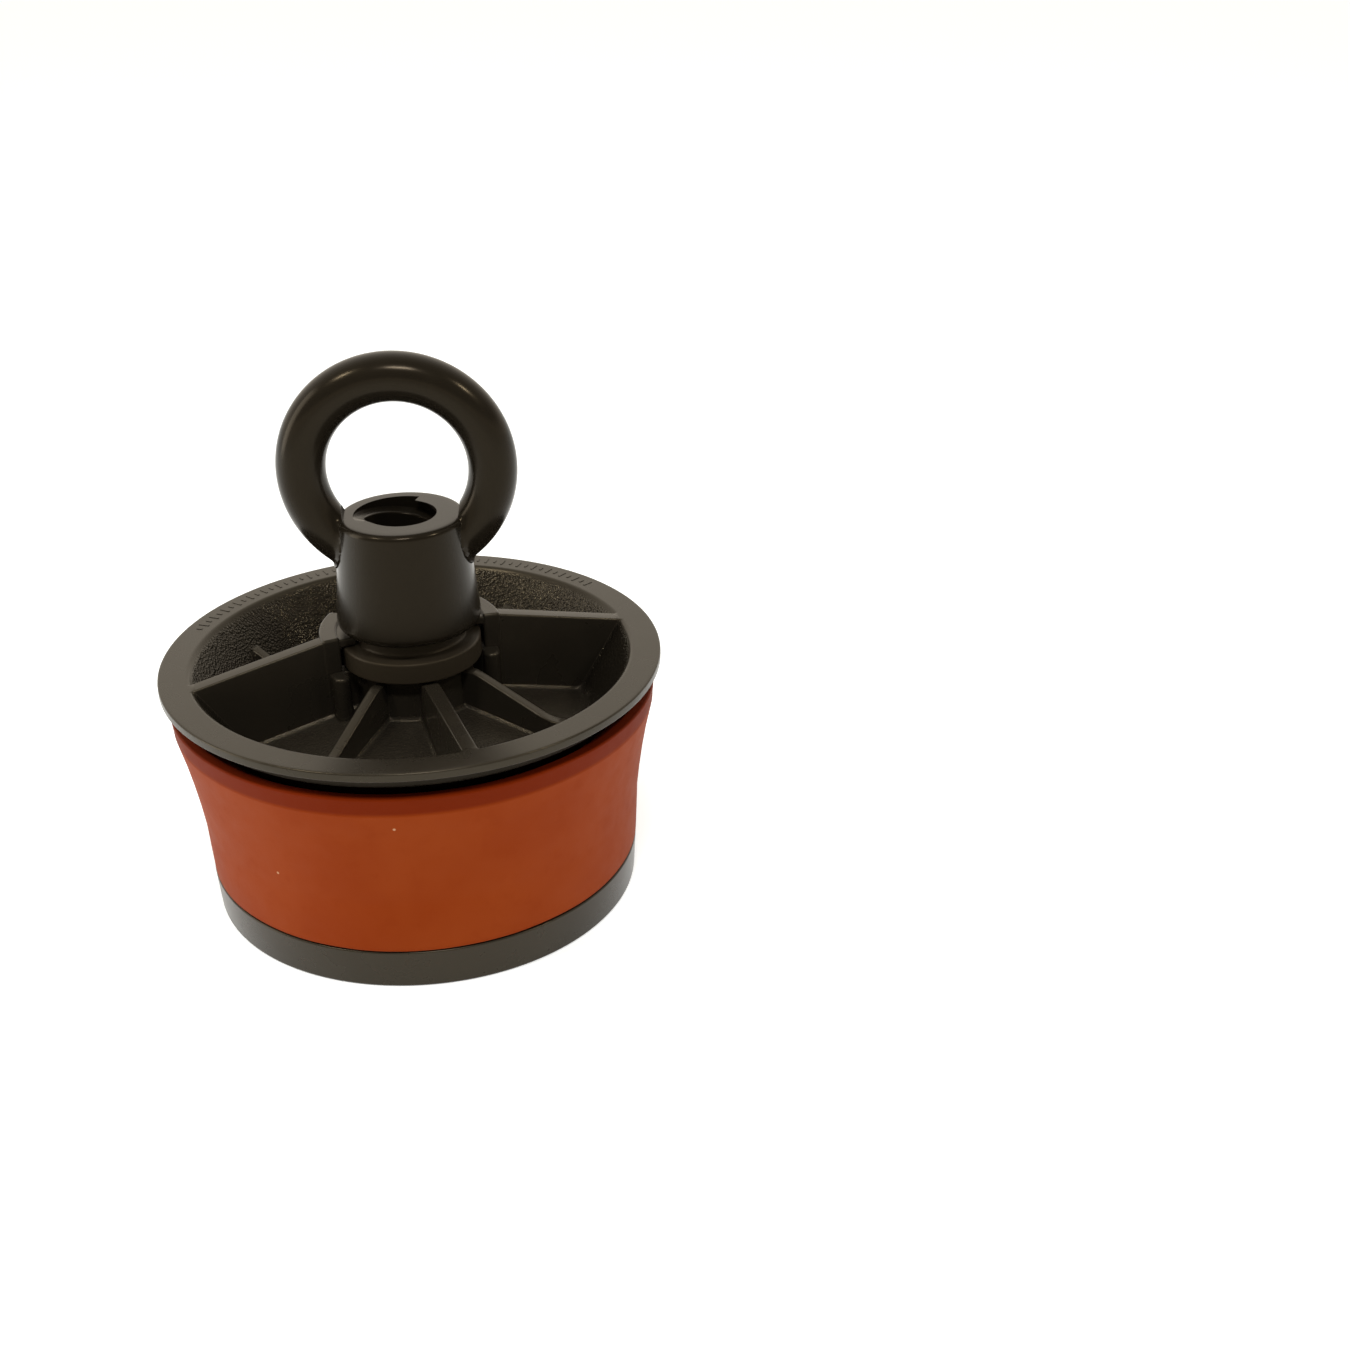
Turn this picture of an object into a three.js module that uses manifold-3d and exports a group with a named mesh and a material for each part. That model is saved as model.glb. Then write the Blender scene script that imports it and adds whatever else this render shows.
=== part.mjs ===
// Expansion duct plug: two stiff plates squeeze a rubber ring when the eye nut is turned down its stud.
// Millimetres, +Z up. The origin is the centre of the bottom plate's resting face.
import * as THREE from 'three';
import { mergeVertices } from 'three/addons/utils/BufferGeometryUtils.js';
import Module from 'manifold-3d';

const wasm = await Module();
wasm.setup();

// Driving dimensions. GAP is the clearance between touching parts, and angles are in degrees.
const GAP = 0.35;
const RING_SIDES = 64;
const SMALL_SIDES = 40;

const base = { foot: 50.6, shoulder: 51.2, height: 9.5, web: 3.2, wall: 3.4, rib: 2.8, ribs: 8, lift: 0.5 };
const spigot = { foot: 40.6, top: 39.4, height: 13, wall: 2.8 };
const socket = { inner: 10, outer: 17, top: 26, seatZ: 9.9, draft: 1.5 };
const gusset = { outerRise: 5, innerRise: 12 };

const stud = { radius: 9.2, top: 80, acrossFlats: 23, headLow: 2.6, headHigh: 7.6, chamfer: 1.5 };
const oRing = { pitch: 10.6, cord: 0.95, sides: 8 };

const flange = { outer: 58, inner: 51, top: 58.8, edge: 2, chamfer: 0.4 };
const dish = { floorR: 40, floorZ: 42.2, hubR: 13, hubZ: 48.3, wall: 2.4 };
const tower = { foot: 14.6, head: 13.4, bore: 10.9, top: 57.55, bottom: 41 };
const horn = { inner: 17, outer: 21, top: 66, start: 84, end: 130 };
const lip = { inner: 13.2, low: 62.5, high: 64.6 };
const wing = { inner: 16.4, outer: 20.2, start: 72 };
const rib = { wideAt: 287, wide: 3.6, low: 2.6, tall: 3.8, step: 45, shelf: 17 };

const nut = { discR: 16.1, discLow: 57.95, discHigh: 62.1, neckR: 12.4, bore: 9.55, top: 93.3, mouth: 13.3 };
const eye = { radius: 21.5, tube: 5.2, height: 104, clearAbove: 2.7 };

const seal = { top: 51.8, tip: 53.9, root: 50.4, rootZ: 49.2, bore: 42, boreZ: 36, floorZ: 26.5 };

// Free-form stretches of outlines, as [radius, height].
const sealOutside = [
  [51.5, 16], [51.8, 23], [52.4, 29], [53.1, 35], [54, 41], [54.9, 45], [55.9, 48.2], [56.3, seal.top],
];
const barrelSide = [[14.7, 66.9], [15.7, 68.6], [16, 71], [16, 73.5], [15.5, 78], [15, 83], [14.2, 92.3]];
const lowRibTop = [[47, 51.4], [44, 49.7], [41, 48.7], [38, 48.3], [35, 48.7], [18, 56.5], [17, 56.9]];

const PLASTIC = { color: 0x5a5246, roughness: 0.45, metalness: 0 };
const GLOSSY = { color: 0x4d463c, roughness: 0.32, metalness: 0 };
const RUBBER = { color: 0xb5541e, roughness: 0.75, metalness: 0 };
const BLACK = { color: 0x222222, roughness: 0.6, metalness: 0 };

const degrees = (angle) => (angle * Math.PI) / 180;

// Solids and meshes.
function solid(geometry) {
  geometry.deleteAttribute('normal');
  geometry.deleteAttribute('uv');
  const merged = mergeVertices(geometry, 1e-4);
  const corners = merged.index.array;
  const kept = [];
  for (let i = 0; i < corners.length; i += 3) {
    const [a, b, c] = [corners[i], corners[i + 1], corners[i + 2]];
    if (a !== b && b !== c && c !== a) kept.push(a, b, c);
  }
  const points = merged.attributes.position.array;
  if (signedVolume(points, kept) < 0) kept.reverse();
  return new wasm.Manifold(new wasm.Mesh({
    numProp: 3,
    vertProperties: new Float32Array(points),
    triVerts: new Uint32Array(kept),
  }));
}

function signedVolume(points, corners) {
  const at = (index) => new THREE.Vector3().fromArray(points, index * 3);
  let total = 0;
  for (let i = 0; i < corners.length; i += 3) {
    total += at(corners[i]).dot(at(corners[i + 1]).cross(at(corners[i + 2])));
  }
  return total / 6;
}

function joined(first, ...others) {
  return others.reduce((sum, other) => sum.add(other), first);
}

function mesh(name, body, look) {
  const result = body.getMesh();
  const geometry = new THREE.BufferGeometry();
  geometry.setAttribute('position', new THREE.BufferAttribute(new Float32Array(result.vertProperties), 3));
  geometry.setIndex(new THREE.BufferAttribute(new Uint32Array(result.triVerts), 1));
  geometry.computeVertexNormals();
  const piece = new THREE.Mesh(geometry, new THREE.MeshStandardMaterial(look));
  piece.name = name;
  return piece;
}

// A closed outline of [radius, height] points turned about the axis.
function turned(outline, sides = RING_SIDES) {
  const points = [...outline, outline[0]].map(([radius, height]) => new THREE.Vector2(radius, height));
  return solid(new THREE.LatheGeometry(points, sides).rotateX(Math.PI / 2));
}

// An outline of [x, y] points raised from one height to another.
function raised(shape, low, high, curveSegments = 8) {
  const options = { depth: high - low, bevelEnabled: false, curveSegments };
  return solid(new THREE.ExtrudeGeometry(shape, options).translate(0, 0, low));
}

// A slice of a ring between two angles, measured from the wide rib.
function sector(inner, outer, from, to, low, high) {
  const start = degrees(rib.wideAt + from);
  const end = degrees(rib.wideAt + to);
  const shape = new THREE.Shape();
  shape.absarc(0, 0, outer, start, end, false);
  shape.absarc(0, 0, inner, end, start, true);
  shape.closePath();
  return raised(shape, low, high);
}

// A radial plate whose side outline is [radius, height], standing at an angle in degrees.
function fin(outline, thickness, angle) {
  const shape = new THREE.Shape(outline.map(([radius, height]) => new THREE.Vector2(radius, height)));
  const geometry = new THREE.ExtrudeGeometry(shape, { depth: thickness, bevelEnabled: false });
  geometry.rotateX(Math.PI / 2).translate(0, thickness / 2, 0).rotateZ(degrees(angle));
  return solid(geometry);
}

// The middle of the dish wall at a height, and of the dish floor at a radius.
const wallSlope = (flange.inner - dish.floorR) / (flange.top - dish.floorZ);
const floorSlope = (dish.floorZ - dish.hubZ) / (dish.floorR - dish.hubR);
const wallMiddle = (height) => dish.floorR + (height - dish.floorZ) * wallSlope + dish.wall * 0.6;
const floorMiddle = (radius) => dish.hubZ + (radius - dish.hubR) * floorSlope - dish.wall * 0.5;

// Bottom plate: a thick disc, hollow below with radial ribs, and a spigot that centres the rubber ring.
function bottomPlate() {
  const roof = base.height - base.web;
  const inside = base.foot - base.wall;
  const spigotTop = base.height + spigot.height;
  const shell = turned([
    [socket.inner, base.lift],
    [socket.outer, base.lift],
    [socket.outer, roof],
    [inside, roof],
    [inside, 0],
    [base.foot - base.lift, 0],
    [base.foot, base.lift],
    [base.shoulder, base.height - base.lift],
    [base.shoulder - base.lift, base.height],
    [spigot.foot, base.height],
    [spigot.top, spigotTop],
    [spigot.top - spigot.wall, spigotTop],
    [spigot.foot - spigot.wall, base.height],
    [socket.outer, base.height],
    [socket.outer - socket.draft, socket.top],
    [socket.inner, socket.top],
  ]);
  // Ribs and gussets start inside the walls that they join, so that the union has no seam.
  const ribRoot = socket.outer - 1;
  const ribEnd = inside + base.wall / 2;
  const gussetRoot = socket.outer - 2;
  const gussetEnd = spigot.foot - spigot.wall / 2;
  const parts = [shell];
  for (let i = 0; i < base.ribs; i += 1) {
    const angle = (i * 360) / base.ribs;
    parts.push(fin([
      [ribRoot, base.lift],
      [ribEnd, base.lift],
      [ribEnd, roof + 1],
      [ribRoot, roof + 1],
    ], base.rib, angle));
    parts.push(fin([
      [gussetRoot, base.height - 1],
      [gussetEnd, base.height - 1],
      [gussetEnd, base.height + gusset.outerRise],
      [gussetRoot, base.height + gusset.innerRise],
    ], base.rib, angle));
  }
  const pocket = hexagon(stud.acrossFlats + 2 * GAP, -1, socket.seatZ);
  const hole = stud.radius + GAP;
  const bore = turned([[0, -1], [hole, -1], [hole, socket.top + 1], [0, socket.top + 1]], SMALL_SIDES);
  return joined(...parts).subtract(pocket).subtract(bore);
}

function hexagon(acrossFlats, low, high) {
  const corner = acrossFlats / Math.sqrt(3);
  const points = [];
  for (let i = 0; i < 6; i += 1) {
    points.push(new THREE.Vector2(corner * Math.cos(degrees(60 * i)), corner * Math.sin(degrees(60 * i))));
  }
  return raised(new THREE.Shape(points), low, high);
}

// Stud: a hexagonal head held in the bottom plate, and a shank that the eye nut runs on.
function threadedStud() {
  const head = hexagon(stud.acrossFlats, stud.headLow, stud.headHigh);
  const shank = turned([
    [0, stud.headHigh - 1],
    [stud.radius, stud.headHigh - 1],
    [stud.radius, stud.top - stud.chamfer],
    [stud.radius - stud.chamfer, stud.top],
    [0, stud.top],
  ], SMALL_SIDES);
  return joined(head, shank);
}

function studORing() {
  const middle = (stud.headHigh + socket.seatZ) / 2;
  const section = [];
  for (let i = 0; i < oRing.sides; i += 1) {
    const turn = degrees((i * 360) / oRing.sides);
    section.push([oRing.pitch + oRing.cord * Math.cos(turn), middle + oRing.cord * Math.sin(turn)]);
  }
  return turned(section, SMALL_SIDES);
}

// Rubber ring: a thick sleeve that flares to a free lip, with a groove between the lip and the dish.
function sealRing() {
  const coneFoot = dish.floorR + dish.wall + GAP;
  return turned([
    [spigot.foot + GAP, base.height + GAP],
    [base.shoulder, base.height + GAP],
    ...sealOutside,
    [seal.tip, seal.top],
    [seal.root, seal.rootZ],
    [coneFoot + GAP, dish.floorZ - 1.6],
    [coneFoot - 0.6, dish.floorZ - 3.6],
    [seal.bore, seal.boreZ],
    [seal.bore - 0.6, seal.floorZ],
  ]);
}

// Top plate: flange, conical dish, central tower, eight ribs, and two horns that hold the nut's disc down.
function topPlate() {
  const shell = turned([
    [tower.foot, dish.hubZ],
    [dish.floorR, dish.floorZ],
    [flange.inner, flange.top],
    [flange.outer - flange.chamfer, flange.top],
    [flange.outer, flange.top - flange.chamfer],
    [flange.outer, flange.top - flange.edge],
    [wallMiddle(flange.top - flange.edge) + dish.wall * 0.55, flange.top - flange.edge],
    [dish.floorR + dish.wall, dish.floorZ - 1.2],
    [dish.floorR + dish.wall * 0.4, dish.floorZ - dish.wall],
    [tower.foot, dish.hubZ - dish.wall],
    [tower.foot, tower.bottom],
    [tower.bore, tower.bottom],
    [tower.bore, tower.top],
    [tower.head, tower.top],
  ]);
  const wallFoot = [wallMiddle(dish.floorZ), dish.floorZ - 0.6];
  const core = tower.bore + 1;
  const root = [core, floorMiddle(core)];
  const rimTop = [wallMiddle(flange.top) - 0.2, flange.top];
  const underDisc = tower.top - 0.2;

  const shelf = [rib.shelf, underDisc];
  const lowRibEnd = lowRibTop[0][1];
  const lowRibRoot = lowRibTop.at(-1)[1];

  const flushRib = [
    root, wallFoot, rimTop, [rib.shelf + 0.5, flange.top - 0.3], shelf, [core, underDisc],
  ];
  const lowRib = [root, wallFoot, [wallMiddle(lowRibEnd), lowRibEnd], ...lowRibTop, [core, lowRibRoot]];
  const tallRib = [
    root, wallFoot, rimTop, [horn.outer - 1, horn.top - 0.4], [horn.inner + 0.6, lip.low],
    [horn.inner + 0.6, underDisc], [core, underDisc],
  ];
  const parts = [shell];
  parts.push(fin(flushRib, rib.wide, rib.wideAt));
  parts.push(fin(flushRib, rib.low, rib.wideAt + 180));
  for (const turn of [1, 3, 5, 7]) parts.push(fin(lowRib, rib.low, rib.wideAt + turn * rib.step));
  for (const turn of [2, 6]) parts.push(fin(tallRib, rib.tall, rib.wideAt + turn * rib.step));
  for (const side of [1, -1]) {
    const span = (from, to) => (side > 0 ? [from, to] : [-to, -from]);
    const foot = floorMiddle(horn.outer);
    parts.push(sector(horn.inner, horn.outer, ...span(horn.start, horn.end), foot, horn.top));
    parts.push(sector(wing.inner, wing.outer, ...span(wing.start, horn.start + 2), foot, tower.top));
    parts.push(sector(lip.inner, horn.inner + 1, ...span(horn.start, horn.end), lip.low, lip.high));
  }
  return joined(...parts);
}

// Eye nut: a disc that the horns hold, a waisted neck, a barrel, and a round pull ring joined to its top.
function eyeNut() {
  const barrel = turned([
    [nut.bore, nut.discLow],
    [nut.discR - 0.3, nut.discLow],
    [nut.discR, nut.discLow + 0.3],
    [nut.discR, nut.discHigh - 0.4],
    [nut.discR - 0.4, nut.discHigh],
    [nut.neckR, nut.discHigh],
    [nut.neckR, barrelSide[0][1]],
    ...barrelSide,
    [nut.mouth, nut.top],
    [nut.bore, nut.top],
  ], SMALL_SIDES);
  const bow = new THREE.TorusGeometry(eye.radius, eye.tube, 12, 40);
  bow.rotateX(Math.PI / 2).translate(0, 0, eye.height);
  const bore = turned([
    [0, nut.discLow - 1],
    [nut.bore, nut.discLow - 1],
    [nut.bore, nut.top],
    [nut.bore + 0.6, nut.top + 1],
    [0, nut.top + 1],
  ], SMALL_SIDES);
  const clear = nut.top + eye.clearAbove;
  const above = turned([[0, nut.top], [nut.mouth, nut.top], [nut.mouth, clear], [0, clear]], SMALL_SIDES);
  return joined(barrel, solid(bow).subtract(above)).subtract(bore);
}

const plug = new THREE.Group();
plug.add(mesh('bottom_plate', bottomPlate(), PLASTIC));
plug.add(mesh('threaded_stud', threadedStud(), BLACK));
plug.add(mesh('stud_o_ring', studORing(), BLACK));
plug.add(mesh('seal_ring', sealRing(), RUBBER));
plug.add(mesh('top_plate', topPlate(), PLASTIC));
plug.add(mesh('eye_nut', eyeNut(), GLOSSY));

export default plug;
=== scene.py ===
import math

import bmesh
import bpy
import numpy as np
from bpy.props import FloatProperty, FloatVectorProperty, IntProperty, PointerProperty
from mathutils import Matrix, Vector


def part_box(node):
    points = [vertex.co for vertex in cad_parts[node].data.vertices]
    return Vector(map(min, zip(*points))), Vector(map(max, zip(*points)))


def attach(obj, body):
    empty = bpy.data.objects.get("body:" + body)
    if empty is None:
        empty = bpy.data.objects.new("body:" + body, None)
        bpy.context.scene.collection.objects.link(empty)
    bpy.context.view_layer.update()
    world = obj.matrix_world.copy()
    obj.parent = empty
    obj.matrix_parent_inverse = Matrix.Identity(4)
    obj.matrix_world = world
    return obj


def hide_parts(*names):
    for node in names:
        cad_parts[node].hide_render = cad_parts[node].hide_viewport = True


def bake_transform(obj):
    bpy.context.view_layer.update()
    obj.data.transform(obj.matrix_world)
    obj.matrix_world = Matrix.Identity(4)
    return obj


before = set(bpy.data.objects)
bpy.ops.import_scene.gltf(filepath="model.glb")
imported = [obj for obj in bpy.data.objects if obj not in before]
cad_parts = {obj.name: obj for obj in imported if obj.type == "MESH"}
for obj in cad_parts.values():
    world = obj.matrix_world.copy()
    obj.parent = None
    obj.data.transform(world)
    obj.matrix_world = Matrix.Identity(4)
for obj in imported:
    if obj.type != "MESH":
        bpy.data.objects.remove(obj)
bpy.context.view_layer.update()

bl_info = {
    "name": "Expansion duct plug",
    "version": (1, 0, 0),
    "blender": (4, 5, 0),
    "location": "View3D > Sidebar > Duct plug",
    "description": "Makes the detailed pieces of an expansion duct plug around its CAD frame",
    "category": "Object",
}

MM = 0.001

# Lengths are in millimetres unless a comment says metres. Meshes are written in metres.


def cad(node):
    """Lowest and highest corner of a CAD node, in millimetres."""
    low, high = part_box(node)
    return low / MM, high / MM


_, BASE_HIGH = cad("bottom_plate")
STUD_LOW, STUD_HIGH = cad("threaded_stud")
ORING_LOW, ORING_HIGH = cad("stud_o_ring")
SEAL_LOW, SEAL_HIGH = cad("seal_ring")
PLATE_LOW, PLATE_HIGH = cad("top_plate")
NUT_LOW, NUT_HIGH = cad("eye_nut")

CLEARANCE = 0.35
ON_AXIS = 0.001          # the smallest radius of a solid that reaches the axis
WIDE_RIB_AT = 287.0      # degrees
RIB_STEP = 45.0          # degrees
QUARTER = np.radians([0, 30, 60, 90])

# Bottom plate.
BASE_RADIUS = BASE_HIGH.x
BASE_TOP = SEAL_LOW.z - CLEARANCE
BASE_FOOT = 50.6
BASE_WALL = 3.4
BASE_WEB = 3.2
BASE_LIFT = 0.5          # how far the ribs and the socket stand clear of the floor
BASE_RIB = 2.8
SPIGOT_FOOT = 40.6
SPIGOT_TOP = 39.4
SPIGOT_WALL = 2.8
SPIGOT_HEIGHT = 13.0
SOCKET_BORE = 10.0
SOCKET_RADIUS = 17.0
SOCKET_DRAFT = 1.5
SOCKET_TOP = BASE_HIGH.z
HEAD_FLATS = 23.0
HEAD_TOP = 7.6
HEAD_SEAT = 9.9
COLLAR_RADIUS = 9.2
COLLAR_TOP = 27.0

# Rubber ring.
SEAL_FOOT = 51.2
SEAL_FLARE = [(51.5, 16, 0), (51.8, 23, 0), (52.5, 29, 0), (53.4, 35, 0), (54.5, 41, 0), (55.3, 44.5, 0)]
SEAL_NECK = 55.9         # radius at the crease below the free lip
SEAL_LIP = 53.9          # inner radius of the free lip

# Top plate.
FLANGE_RADIUS = PLATE_HIGH.x
FLANGE_TOP = 58.8
FLANGE_EDGE = 2.0
RIM_RADIUS = 51.0
FLOOR_RADIUS = 40.0
FLOOR_HEIGHT = 42.2
HUB_RADIUS = 13.0
HUB_HEIGHT = 48.3
FLOOR_SLOPE = (FLOOR_HEIGHT - HUB_HEIGHT) / (FLOOR_RADIUS - HUB_RADIUS)
DISH_SLOPE = (FLANGE_TOP - FLOOR_HEIGHT) / (RIM_RADIUS - FLOOR_RADIUS)
DISH_WALL = 2.4
FLOOR_BLEND = 2.2        # size of the soft corner between the dish's floor and its wall
RIM_BLEND = 0.9
TOWER_HEAD = 13.4
TOWER_FOOT = 14.6
TOWER_BORE = 10.9
TOWER_TOP = NUT_LOW.z - 0.4
TOWER_BOTTOM = PLATE_LOW.z + 1.2
HORN_TOP = PLATE_HIGH.z
HORN_FOOT = 44.0
LIP_TOP = 65.4
TICK_RADIUS = 54.6
TICK_STARTS = (40, 108)  # degrees
TICK_SPAN = 54           # degrees

# Eye nut.
EYE_TUBE = 5.5
EYE_RADIUS = NUT_HIGH.x - EYE_TUBE
EYE_HEIGHT = NUT_HIGH.z - EYE_TUBE - EYE_RADIUS
DISC_RADIUS = 16.1
DISC_TOP = 63.0
NECK_RADIUS = 12.4
BARREL_TOP = 93.3
BARREL_BOTTOM = 66.9
BARREL_RADIUS = 16.75
MOUTH_RADIUS = 14.35
MOUTH_HOLE = 13.3

# Thread of the nut and the stud: one start, right hand.
LEAD = 9.0
THREAD_ANGLE_AT_TOP = 321.5
NUT_MAJOR = 10.75
NUT_MINOR = 8.0
STUD_MAJOR = 10.4
STUD_MINOR = 7.65
NUT_RIDGE = (5.3, 6.6)   # width of the ridge at its inner and its outer radius
STUD_RIDGE = (3.0, 2.0)
RIDGE_CORNER = 0.45
NUT_TURNS = 3.5
STUD_TURNS = 7.6
CUTTER = 30.0            # radius of the bars that trim the ends of a ridge


# ---------------------------------------------------------------- node trees

class Wire:
    """A node socket in a tree. Sums, differences, products and quotients of wires add Math nodes."""

    def __init__(self, tree, socket):
        self.tree = tree
        self.socket = socket

    def math(self, operation, *others):
        return self.tree.add("ShaderNodeMath", dict(enumerate((self, *others))), operation=operation)

    def __add__(self, other):
        return self.math("ADD", other)

    def __sub__(self, other):
        return self.math("SUBTRACT", other)

    def __mul__(self, other):
        return self.math("MULTIPLY", other)

    def __truediv__(self, other):
        return self.math("DIVIDE", other)

    def __rsub__(self, other):
        return self.tree.add("ShaderNodeMath", {0: other, 1: self}, operation="SUBTRACT")

    __radd__ = __add__
    __rmul__ = __mul__

    def between(self, low, high):
        """0 below low, 1 above high, and a smooth step in between."""
        return self.tree.add(
            "ShaderNodeMapRange",
            {"Value": self, "From Min": low, "From Max": high},
            interpolation_type="SMOOTHSTEP",
        )


class Tree:
    """Adds nodes to a shader or geometry tree."""

    def __init__(self, tree):
        self.tree = tree
        self.tree.nodes.clear()

    def feed(self, socket, value):
        if isinstance(value, Wire):
            self.tree.links.new(value.socket, socket)
        else:
            socket.default_value = value

    def add(self, kind, inputs=None, output=0, **settings):
        """One node: its settings first, then what its sockets hold. Returns the asked output."""
        node = self.tree.nodes.new(kind)
        for key, value in settings.items():
            setattr(node, key, value)
        for key, value in (inputs or {}).items():
            self.feed(node.inputs[key], value)
        return Wire(self, node.outputs[output]) if node.outputs else None


def geometry_tree(name, measures, count):
    """An empty Geometry Nodes group with these measures, a whole number and a finish as its inputs.
    Returns its Tree and a dict of input wires."""
    group = bpy.data.node_groups.new(name, "GeometryNodeTree")
    inputs = {label: "NodeSocketFloat" for label in measures}
    inputs |= {count: "NodeSocketInt", "Finish": "NodeSocketMaterial"}
    for label, kind in inputs.items():
        group.interface.new_socket(label, in_out="INPUT", socket_type=kind)
    group.interface.new_socket("Geometry", in_out="OUTPUT", socket_type="NodeSocketGeometry")
    tree = Tree(group)
    source = group.nodes.new("NodeGroupInput")
    return tree, {label: Wire(tree, source.outputs[label]) for label in inputs}


def finish_tree(tree, geometry, material):
    """Ends a geometry tree in Realize Instances and Set Material."""
    real = tree.add("GeometryNodeRealizeInstances", {"Geometry": geometry})
    painted = tree.add("GeometryNodeSetMaterial", {"Geometry": real, "Material": material})
    tree.add("NodeGroupOutput", {"Geometry": painted})
    return tree.tree


def grown(name, group, values):
    """The plain mesh object that a geometry tree makes from these input values."""
    mesh = bpy.data.meshes.new(name)
    holder = bpy.data.objects.new(name, mesh)
    bpy.context.scene.collection.objects.link(holder)
    modifier = holder.modifiers.new("Shape", "NODES")
    modifier.node_group = group
    for item in group.interface.items_tree:
        if item.in_out == "INPUT":
            modifier[item.identifier] = values[item.name]
    return baked(holder)


# ---------------------------------------------------------------- mesh helpers

def linked(name, mesh):
    obj = bpy.data.objects.new(name, mesh)
    bpy.context.scene.collection.objects.link(obj)
    return obj


def baked(obj):
    """Replaces the object's mesh by its evaluated one and drops the modifiers."""
    graph = bpy.context.evaluated_depsgraph_get()
    mesh = bpy.data.meshes.new_from_object(obj.evaluated_get(graph), depsgraph=graph)
    obj.modifiers.clear()
    obj.data = mesh
    return obj


def with_modifier(obj, kind, **settings):
    modifier = obj.modifiers.new(kind.title(), kind)
    for key, value in settings.items():
        setattr(modifier, key, value)
    return baked(obj)


def combined(obj, others, operation):
    """The object joined with, or cut by, other closed meshes, which are used up."""
    for other in others:
        with_modifier(obj, "BOOLEAN", object=other, operation=operation, solver="MANIFOLD")
        bpy.data.objects.remove(other)
    return obj


def bevelled(obj, width, segments, clamp=True):
    """Rounds every edge that turns by more than 40 degrees."""
    return with_modifier(
        obj, "BEVEL", width=width * MM, segments=segments, limit_method="ANGLE",
        angle_limit=math.radians(40), use_clamp_overlap=clamp,
    )


def shaded(obj, sharp=32.0):
    """Smooth shading, broken only at edges sharper than the angle in degrees, flat faces kept flat."""
    obj.data.shade_smooth()
    obj.data.set_sharp_from_angle(angle=math.radians(sharp))
    return with_modifier(obj, "WEIGHTED_NORMAL", keep_sharp=True, weight=80)


def grid_object(name, points):
    """A mesh from an array of points [row, column, xyz]. Its last row and column meet the first."""
    rows, columns = points.shape[:2]
    index = np.arange(rows * columns).reshape(rows, columns)
    down = np.roll(index, -1, axis=0)
    across = np.roll(index, -1, axis=1)
    both = np.roll(down, -1, axis=1)
    faces = np.stack([index, across, both, down], axis=-1)
    mesh = bpy.data.meshes.new(name)
    mesh.from_pydata((points.reshape(-1, 3) * MM).tolist(), [], faces.reshape(-1, 4).tolist())
    return outward(linked(name, mesh))


def outward(obj):
    """Turns every face of a closed mesh outwards after its doubles are merged."""
    work = bmesh.new()
    work.from_mesh(obj.data)
    bmesh.ops.remove_doubles(work, verts=work.verts, dist=1e-7)
    bmesh.ops.recalc_face_normals(work, faces=work.faces)
    if work.calc_volume(signed=True) < 0:
        bmesh.ops.reverse_faces(work, faces=work.faces)
    work.to_mesh(obj.data)
    work.free()
    return obj


def rounded(corners, step=22.5):
    """A closed outline from (radius, height, corner radius) points, its corners turned into arcs."""
    outline = []
    count = len(corners)
    for i, (x, y, size) in enumerate(corners):
        here = Vector((x, y))
        back = Vector(corners[i - 1][:2]) - here
        ahead = Vector(corners[(i + 1) % count][:2]) - here
        if size <= 0:
            outline.append(here)
            continue
        half = back.angle(ahead) / 2
        reach = min(size / math.tan(half), 0.48 * back.length, 0.48 * ahead.length)
        size = reach * math.tan(half)
        middle = here + (back.normalized() + ahead.normalized()).normalized() * (size / math.sin(half))
        start = here + back.normalized() * reach - middle
        turn = math.copysign(math.pi - 2 * half, start.cross(here + ahead.normalized() * reach - middle))
        pieces = max(2, math.ceil(abs(math.degrees(turn)) / step))
        for k in range(pieces + 1):
            outline.append(middle + Matrix.Rotation(turn * k / pieces, 2) @ start)
    return [(point.x, point.y) for point in outline]


def turned(name, outline, sides=256):
    """A closed outline of (radius, height) turned about the axis."""
    angles = np.linspace(0, 2 * math.pi, sides, endpoint=False)
    radius, height = np.array(outline).T
    points = np.stack([
        radius[:, None] * np.cos(angles),
        radius[:, None] * np.sin(angles),
        np.repeat(height[:, None], sides, axis=1),
    ], axis=-1)
    return grid_object(name, points)


def bar(name, radius, low, high, sides=64):
    """A solid round bar on the axis, from one height to another."""
    return turned(name, [(ON_AXIS, low), (radius, low), (radius, high), (ON_AXIS, high)], sides)


def column(name, plan, low, high):
    """A closed upright prism from a plan outline of (x, y)."""
    work = bmesh.new()
    bottom = work.faces.new([work.verts.new((x * MM, y * MM, low * MM)) for x, y in plan])
    lifted = bmesh.ops.extrude_face_region(work, geom=[bottom])["geom"]
    top = [item for item in lifted if isinstance(item, bmesh.types.BMVert)]
    bmesh.ops.translate(work, verts=top, vec=(0, 0, (high - low) * MM))
    mesh = bpy.data.meshes.new(name)
    work.to_mesh(mesh)
    work.free()
    return outward(linked(name, mesh))


def hexagon(name, across_flats, low, high):
    corner = across_flats / math.sqrt(3)
    turns = [math.radians(60 * i) for i in range(6)]
    return column(name, [(corner * math.cos(t), corner * math.sin(t)) for t in turns], low, high)


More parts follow.
